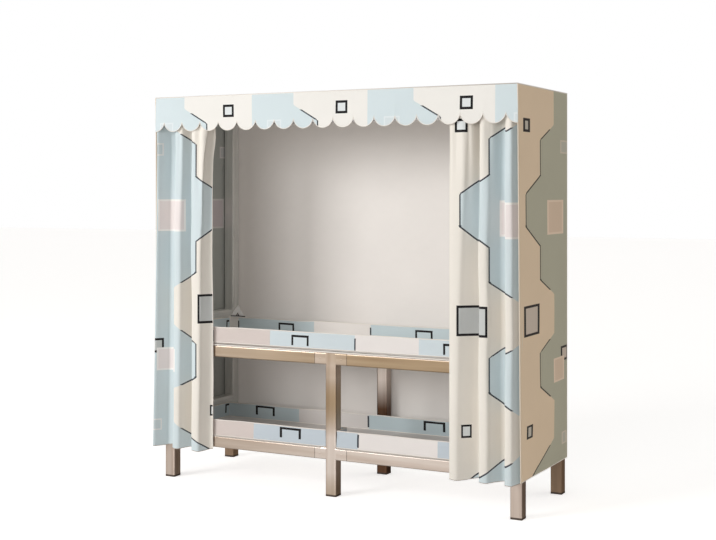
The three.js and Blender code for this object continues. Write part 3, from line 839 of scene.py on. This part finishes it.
def pleat(ridge, span, end):
    """One pleat from the front of its ridge to the back, or to the cloth's end where that is given."""
    span = min(span, (PLEAT_TUCK[0][0] - ridge) / PLEAT_FALL[-1][0])
    points = PLEAT_RISE + [(0.05 + 0.4 * ridge, 0.0, -1.0), (ridge + 0.04, 0.0, -0.93)]
    depth = 1 if end is None else (1 + end) / 1.95
    points.extend((ridge + span * share, 0.0, (out + 1) * depth - 1) for share, out in PLEAT_FALL)
    return points + (PLEAT_TUCK if end is None else [(1.0, 0.0, end)])


def smooth_path(controls, count):
    """Points at even steps along a smooth line through the controls."""
    fine = []
    for i in range(len(controls) - 1):
        a, b = controls[max(0, i - 1)], controls[i]
        c, d = controls[i + 1], controls[min(len(controls) - 1, i + 2)]
        for j in range(6):
            t = j / 6
            fine.append(0.5 * ((2 * b) + (c - a) * t + (2 * a - 5 * b + 4 * c - d) * t * t
                               + (3 * b - a - 3 * c + d) * t ** 3))
    fine.append(controls[-1])
    lengths = [0.0]
    for first, second in zip(fine, fine[1:]):
        lengths.append(lengths[-1] + (second - first).length)
    result, k = [], 0
    for i in range(count + 1):
        goal = lengths[-1] * i / count
        while k < len(fine) - 2 and lengths[k + 1] < goal:
            k += 1
        span = max(1e-9, lengths[k + 1] - lengths[k])
        result.append(fine[k].lerp(fine[k + 1], min(1, (goal - lengths[k]) / span)))
    return result


CURTAIN_COLUMNS = 132
CURTAIN_ROWS = 44
CURTAIN_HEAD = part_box("curtain_left")[1].z
CURTAIN_HEM = HEM + 0.002
FOLD_MIDDLE_Y = -0.2672
FOLD_DEPTH = 0.0312
FOLD_DEPTH_LOSS = 0.0042

# Shares of the height where the folds start to move back to the rings, to flatten and to be pinched
TO_RINGS = 0.9
HEAD_BAND = 0.94
PINCHED = 0.66

# The left curtain's flare
FLARE_START = -0.72
FLARE_REACH = 0.134

# Curtains' seams, in from an edge
SEAM_PITCH = 0.012
EDGE_SEAM = 0.008

# The share of a fold's depth in the print
FOLD_SHARE = 0.5


def curtain_rows(side, edges, shapes, drawn_in):
    """Rows of points of a pleated curtain, from the hem up. Each pleat tucks behind the next, and the
    last is drawn in below its head."""
    rows = []
    for row in range(CURTAIN_ROWS + 1):
        t = row / CURTAIN_ROWS
        depth = FOLD_DEPTH - FOLD_DEPTH_LOSS * t
        if t > HEAD_BAND:
            depth *= 1 - 0.35 * (t - HEAD_BAND) / (1 - HEAD_BAND)
        middle = FOLD_MIDDLE_Y + (RING_Y - FOLD_MIDDLE_Y) * max(0, (t - TO_RINGS) / (1 - TO_RINGS))
        controls = []
        lower_edges = edges[:-1] + [edges[-1] - drawn_in * min(1, (1 - t) * 8)]
        for number, (start, stop) in enumerate(zip(lower_edges, lower_edges[1:])):
            sway = waver((number * 3.1 + side, 0, 1.55 * t), size=0.33, height=0.007, seed=5.0)
            sway *= math.sin(math.pi * t) if number else 0.0
            ridge, widening, span, tuck, end = shapes[number]
            for across, over, out in pleat(ridge + widening * t * t, span, end):
                x = start + sway + (stop - start) * across + tuck * over
                controls.append(Vector((x, middle + out * depth, 0)))
        line = smooth_path(controls, CURTAIN_COLUMNS)
        pinch = max(0, (t - PINCHED) / (HEAD_BAND - PINCHED)) ** 2 * min(1, (1 - t) * 14)
        for point in line:
            across = (point.x, 0.0, 0.0)
            lean = (middle - point.y) / depth
            point.y += (waver(across, size=0.023, height=0.015, seed=11.0) + 0.0065) * pinch
            wave = -0.006 - 0.003 * lean + waver(across, size=0.05, height=0.005, seed=6.0)
            point.z = CURTAIN_HEM + (CURTAIN_HEAD - CURTAIN_HEM) * t + wave * (1 - t) ** 6
            if side < 0:
                outer = max(0, (FLARE_START - point.x) / FLARE_REACH)
                point.x -= LEFT_FLARE * outer * (1 - t) ** 1.4
        rows.append(line)
    return rows


def curtain(name, side, edges, shapes, finish, chart, drawn_in=0.0):
    """A curtain with its trims, their transforms baked into their meshes."""
    rows = curtain_rows(side, edges, shapes, drawn_in)

    def place(s, t):
        return rows[round(t * CURTAIN_ROWS)][round(s * CURTAIN_COLUMNS)]

    cloth = cloth_piece(f"{name}_cloth", [
        (CURTAIN_COLUMNS, CURTAIN_ROWS, place, chart),
    ], [finish, lining_finish])
    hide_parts(name)
    hem = rows[0]
    upright = [row[0 if side > 0 else -1] for row in rows]
    cord = cord_piece(f"{name}_piping", [upright], CORD["curtain"])
    # A grey-tan cord along the hem: painted shade under the hem's edge
    hem_cord = cord_piece(f"{name}_hem_piping", [hem], CORD["curtain"], hem_finish)
    seams = stitch_piece(f"{name}_stitches", [
        moved(hem, z=SEAM_PITCH), moved(hem, z=2 * SEAM_PITCH),
        moved(upright[1:-1], x=side * EDGE_SEAM), moved(rows[-1], z=-SEAM_PITCH),
    ])
    for piece in (cloth, cord, hem_cord, seams):
        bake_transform(piece)
    return cloth, cord, hem_cord, seams


def left_chart(s, t, point):
    """The print follows the folds; low down on this curtain it hangs a little lower."""
    inward = clamp((point[0] + 0.75) / 0.05)
    sag = (0.008 + 0.02 * inward) * math.exp(-((point[2] - 0.47) / 0.22) ** 2)
    return (point[0] + FOLD_SHARE * (point[1] - FOLD_MIDDLE_Y), point[2] + sag)


def right_chart(s, t, point):
    """The print follows the folds, with a little of it hidden in the tucks."""
    first = 0.006 * clamp((0.7 - point[0]) / 0.04)
    last = clamp((point[0] - 0.785) / 0.02)
    along = point[0] + FOLD_SHARE * (point[1] - FOLD_MIDDLE_Y) + first - 0.012 * last
    return (along, point[2] + 0.008 * last)


# Each pleat: the share of its width that its ridge takes at the hem and what it gains to the head,
# the share of its fall, its tuck in metres, and how far forward the cloth ends
left_curtain = curtain(
    "curtain_left", -1, [-0.8537, -0.762, -0.668, -0.5657],
    [(0.08, 0.0, 0.5, 0.062, None), (0.26, 0.12, 0.5, 0.062, None), (0.42, 0.42, 0.5, 0, 0.75)],
    left_curtain_finish, left_chart, drawn_in=0.022)
right_curtain = curtain(
    "curtain_right", 1, [0.5657, 0.692, 0.8, 0.8537],
    [(0.22, 0.34, 0.63, 0.068, None), (0.28, 0.0, 0.5, 0.05, None), (0.48, 0.0, 0.5, 0, 0.6)],
    right_curtain_finish, right_chart)

# Trays: their corners' radius, the tabs at the back corners, and the seams' shares of the wall
TRAY_CORNER = 0.014
TAB_WIDTH = 0.08
TAB_RISE = 0.058
TAB_INSET = 0.0165
# Painted shadow at the tabs: the dark cords' offset from the tab's back and foot, and the small loop's half
# width and height
TAB_SHADOW_OFFSET = (0.0075, 0.005)
TAB_SHADOW_HALF = 0.007
TAB_SHADOW_HEIGHT = 0.02
WALL_SEAMS = (0.92, 0.1)
BACK_WALL_LOWER = 0.003
LIP_STEPS = 60
FOOT_INSET = 0.016

# Clearance to the posts, half the notch round the front centre post, and the side walls' part of the
# ring with the place of their open square
TRAY_GAP = 0.0013
POST_HALF_GAP = 0.0263
SIDE_WALL_REACH = 0.006
SIDE_SQUARE_Y = 0.222


def even_line(points, spacing):
    """A broken line with more points between its own, about a spacing apart."""
    result = []
    for first, second in zip(points, points[1:]):
        steps = max(1, round((second - first).length / spacing))
        result.extend(first.lerp(second, i / steps) for i in range(steps))
    return result


def tray_ring(half, front, back, recess):
    """The wall's line from above, against the clock, from the front's middle round to it again."""
    points = [Vector((0, front, 0))]
    if recess:
        half_gap, depth = recess
        points = [Vector((0, depth, 0)), Vector((half_gap, depth, 0)), Vector((half_gap, front, 0))]
    right, near, far = half - TRAY_CORNER, front + TRAY_CORNER, back - TRAY_CORNER
    for x, y, start in ((right, near, -90), (right, far, 0), (-right, far, 90), (-right, near, 180)):
        for step in range(7):
            angle = math.radians(start + 15 * step)
            points.append(Vector((x + TRAY_CORNER * math.cos(angle), y + TRAY_CORNER * math.sin(angle), 0)))
    if recess:
        points.extend([Vector((-half_gap, front, 0)), Vector((-half_gap, depth, 0))])
    points.append(points[0])
    return even_line(points, 0.011)


def tab_shadow_lines(middle, back, sill):
    """A tab's two near-black cords, painted shadow: one along its foot and a small loop in its opening."""
    out, rise = back - TAB_SHADOW_OFFSET[0], sill + TAB_SHADOW_OFFSET[1]
    lines = []
    for half, sides, crown in (
        (TAB_WIDTH / 2, (out, rise), (out - 0.001, rise + 0.001)),
        (TAB_SHADOW_HALF, (out - 0.002, rise + 0.001), (out - 0.002, sill + TAB_SHADOW_HEIGHT)),
    ):
        places = ((middle - half, *sides), (middle, *crown), (middle + half, *sides))
        lines.append([Vector(place) for place in places])
    return lines


def tray(name, finish, bars, wall_height, lift, foot, recess=None, tabs=False):
    """A cloth tray with its trims. Lift is the wall's foot over the rails, recess the half width and
    the depth of the notch round the front centre post, and foot the front piping's place and finish."""
    low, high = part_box(name)
    base = low.z + CLOTH
    half = high.x - PANEL_INSET
    front, back = low.y + PANEL_INSET, POST_BACK_INNER - TRAY_GAP
    ring = tray_ring(half, front, back, recess)
    count = len(ring)

    def floor_place(s, t):
        x, y = (2 * s - 1) * half, front + (back - front) * t
        bay = arch((abs(x) - TRAY_BAY[0]) / TRAY_BAY[1])
        along = arch((y - RAIL_INNER_Y) / (back - RAIL_INNER_Y))
        z = base + lift * 0.6 - TRAY_SLACK * bay ** 0.8 * along ** 0.6
        if recess and abs(x) < recess[0] and y < recess[1]:
            y = recess[1]
        return (x, y, z)

    def wall_place(s, t):
        index = round(s * count)
        point = ring[index % count]
        run = (ring[(index + 1) % count] - ring[index - 1]).normalized()
        out = waver((point.x, point.y, 0.4 * t), size=0.16, height=0.005, seed=7.0) * 0.5 - 0.0022
        top = wall_height + waver((point.x, point.y, 0), size=0.14, height=0.003, seed=8.0)
        if point.y > 0:
            top -= BACK_WALL_LOWER
        return (point.x + run.y * out * t, point.y - run.x * out * t, base + lift + (top - lift) * t)

    def wall_chart(s, t, point):
        along = point[0]
        if abs(point[0]) > half - SIDE_WALL_REACH:
            along = bars["back_bar"] + OPEN_SQUARE * bars["scale"] + (point[1] - SIDE_SQUARE_Y)
        return (along, 0.001 + lift + (wall_height - lift) * t)

    def lip(x0, x1):
        def place(s, t):
            x = x0 + (x1 - x0) * s
            y = back + (high.y - PANEL_INSET - back) * t
            return (x, y, base + waver((x, y, 0), size=0.07, height=0.0018, seed=9.0) * t)
        return place

    def floor_chart(s, t, point):
        return (point[0], FLOOR_CHART + point[1])

    def wall_line(t):
        return [Vector(wall_place(i / count, t)) for i in range(count)]

    patches = [(90, 30, floor_place, floor_chart), (count, 8, wall_place, wall_chart)]
    gap = recess[0] + 0.001 if recess else 0.0
    spans = [(-half, -gap), (gap, half)] if recess else [(-half, half)]
    lips = [lip(x0, x1) for x0, x1 in spans]
    patches.extend((LIP_STEPS, 5, place, floor_chart) for place in lips)
    tab_lines = []
    if tabs:
        sill = base + wall_height - 0.002
        for way in (-1, 1):
            middle = way * (half - TAB_INSET - TAB_WIDTH / 2)

            def tab_place(s, t, middle=middle):
                width = TAB_WIDTH / 2 * (1 - t ** 1.1)
                hollow = 0.004 * math.sin(math.pi * t)
                return (middle + (1 - 2 * s) * width, back - 0.0045 - hollow, sill + TAB_RISE * t)
            patches.append((12, 12, tab_place, lambda s, t, p: (p[0], TAB_CHART)))
            tab_lines.extend(tab_shadow_lines(middle, back, sill))
    cloth = cloth_piece(f"{name}_cloth", patches, [finish])
    dressed(cloth, "tray_cloth", name)
    foot_lines = []
    for x0, x1 in spans:
        ends = (max(x0, FOOT_INSET - half), min(x1, half - FOOT_INSET))
        foot_ends = [Vector((x, front - foot["out"], base + foot["up"])) for x in ends]
        foot_lines.append(even_line(foot_ends, 0.02))
    lip_lines = [edge_of(place, t=1, steps=LIP_STEPS) for place in lips]
    trims = [
        cord_piece(f"{name}_piping", [wall_line(1), wall_line(0)], CORD["tray"], closed=True),
        cord_piece(f"{name}_lip_piping", lip_lines, CORD["tray_lip"]),
        cord_piece(f"{name}_foot_piping", foot_lines, CORD["tray_foot"], foot["finish"]),
        stitch_piece(f"{name}_stitches", [wall_line(level) for level in WALL_SEAMS], closed=True),
    ]
    if tabs:
        trims.append(cord_piece(f"{name}_tab_loops", tab_lines, CORD["tab_loop"], tab_loop_finish))
    for piece in trims:
        dressed(piece, "tray_cloth")
    return cloth, trims


# The low tray's foot cord is in the shade-line tone: painted shade under its wall, covering the rail's top
# highlight
tray_low, tray_low_trims = tray(
    "tray_low", tray_low_finish, LOW_BARS, wall_height=0.071, lift=0.002,
    foot={"out": 0.0048, "up": -0.0018, "finish": hem_finish},
    recess=(POST_HALF_GAP, POST_FRONT_INNER + TRAY_GAP))
tray_mid, tray_mid_trims = tray(
    "tray_mid", tray_mid_finish, MID_BARS, wall_height=0.080, lift=0.013,
    foot={"out": 0.003, "up": 0.0018, "finish": cord_finish}, tabs=True)

# Trims of the cover; seams lie at shares of a panel in from its edges
scallop_edge = edge_of(valance_place, t=0.0, steps=VALANCE_STEPS)
valance_cord = cord_piece("valance_piping", [scallop_edge], CORD["valance"])
valance_seams = stitch_piece(
    "valance_stitches", [moved(scallop_edge, z=0.006), edge_of(valance_place, t=0.955, steps=120)])
for piece in (valance_cord, valance_seams):
    dressed(piece, "valance_cloth")

top_loop = [
    Vector((x * (HALF_WIDTH - TOP_INSET), y * (HALF_DEPTH - TOP_INSET), TOP - 0.0015)) for x, y in CORNERS]
top_seam = [Vector(top_place(0.5 + 0.494 * x, 0.5 + 0.484 * y)) for x, y in CORNERS]
top_cord = cord_piece("cover_top_piping", [top_loop], CORD["top"], closed=True)
top_seams = stitch_piece("cover_top_stitches", [top_seam], closed=True)
back_cord = cord_piece("cover_back_piping", [edge_of(back_place, t=0.0)], CORD["back"])
back_seams = stitch_piece("cover_back_stitches", [
    edge_of(back_place, t=0.016), edge_of(back_place, s=0.008), edge_of(back_place, s=0.992),
])
for piece in (top_cord, top_seams, back_cord, back_seams):
    dressed(piece, "cover_cloth")

for name, side in SIDES:
    place = side_place(side)
    front_s, seam_s = (1.0, 0.97) if side < 0 else (0.0, 0.03)
    front_edge = moved(edge_of(place, s=front_s, steps=60), x=side * 0.001, y=-0.0005)
    back_edge = moved(edge_of(place, s=1 - front_s, steps=60), y=0.001)
    binding = cord_piece(f"cover_{name}_binding", [front_edge], CORD["binding"], binding_finish)
    hem_cord = cord_piece(
        f"cover_{name}_piping", [edge_of(place, t=0.0, steps=40), back_edge], CORD["side"])
    seams = stitch_piece(f"cover_{name}_stitches", [
        edge_of(place, s=seam_s, steps=60), edge_of(place, t=0.012, steps=40),
    ])
    for piece in (binding, hem_cord, seams):
        dressed(piece, "cover_cloth")

# Finishes of the solids that stay, by the first name that fits
NODE_FINISHES = [
    ("foot", foot_plastic), ("post_back", steel_z_grey), ("post", steel_z),
    ("centre_upright_back", steel_z_far), ("centre_upright", steel_z_arms),
    ("rail_front", steel_x), ("rail_back", steel_x), ("rail", steel_y), ("cross_bar", steel_y), ("", chrome),
]
for name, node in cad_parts.items():
    if not node.hide_render:
        finish = next(finish for start, finish in NODE_FINISHES if name.startswith(start))
        node.material_slots[0].material = finish

# Stage: soft lamps, a floor that is seen as even white but keeps the shadows, and a pale world. Where
# steel mirrors the world, it is brighter in front and above, and warm behind
FLOOR_REACH = 30
SKY_LEVEL = 0.3
WHITE = (1, 1, 1, 1)
PALE_SKY = (1, 0.975, 0.945, 1)
WARM_SKY = (1, 0.72, 0.5, 1)

floor_mesh = bpy.data.meshes.new("floor")
floor_mesh.from_pydata([(x * FLOOR_REACH, y * FLOOR_REACH, 0) for x, y in CORNERS], [], [(0, 1, 2, 3)])
floor = new_piece("floor", floor_mesh)
floor_finish, paper, shader = new_finish("floor_finish", {
    "Base Color": tone(250, 250, 250), "Roughness": 0.9, "Specular IOR Level": 0.1, "Emission Strength": 0.6,
})
floor_mesh.materials.append(floor_finish)
seen = paper.outputs("ShaderNodeLightPath")["Is Camera Ray"]
feed(paper.mixed(seen, (0, 0, 0, 1), WHITE), shader, "Emission Color")
floor.visible_glossy = False

world = bpy.data.worlds.new("pale_world")
bpy.context.scene.world = world
world.use_nodes = True
sky = Nodes(world.node_tree)
rays = sky.outputs("ShaderNodeLightPath")
seen = sky.math("MAXIMUM", rays["Is Camera Ray"], rays["Is Transmission Ray"])
glossy = rays["Is Glossy Ray"]
_, behind, above = sky.numbers(sky.value("ShaderNodeTexCoord"))
mirrored = behind * -0.39 + 0.45 + sky.math("MAXIMUM", above, 0.0) * 0.5
strength = seen * (1 - SKY_LEVEL) + SKY_LEVEL + glossy * (mirrored - SKY_LEVEL)
shade = sky.mixed(glossy * sky.clamped(behind), PALE_SKY, WARM_SKY)
background = world.node_tree.nodes["Background"]
feed(sky.mixed(seen, shade, WHITE), background, "Color")
feed(strength, background, "Strength")


def lamp(name, kind, energy, direction, place=(0, 0, 0), **settings):
    data = bpy.data.lights.new(name, kind)
    data.energy = energy
    for key, value in settings.items():
        setattr(data, key, value)
    light = new_piece(name, data)
    light.location = place
    light.rotation_euler = Vector(direction).to_track_quat("-Z", "Y").to_euler()
    return light


lamp("key", "AREA", 305, (4.3, 6.9, -2.4), (-4.3, -6.9, 3.3), size=3.2)
lamp("front_fill", "SUN", 0.75, (-0.05, 1, -0.12), angle=math.radians(30))
right_fill = lamp("right_fill", "SUN", 0.9, (-1, -0.95, -0.3), angle=math.radians(45), color=(1, 0.93, 0.84))
right_fill.visible_glossy = False

# Camera: level, with its view shifted, as solved from the photograph
view = bpy.data.cameras.new("camera")
view.sensor_width = 36
view.lens = 64.22
view.shift_y = -0.1092
camera = new_piece("camera", view)
camera.location = (2.586, -4.938, 1.2805)
camera.rotation_euler = (math.radians(90), 0, math.radians(27.578))
bpy.context.scene.camera = camera
bpy.context.scene.view_settings.view_transform = "Standard"
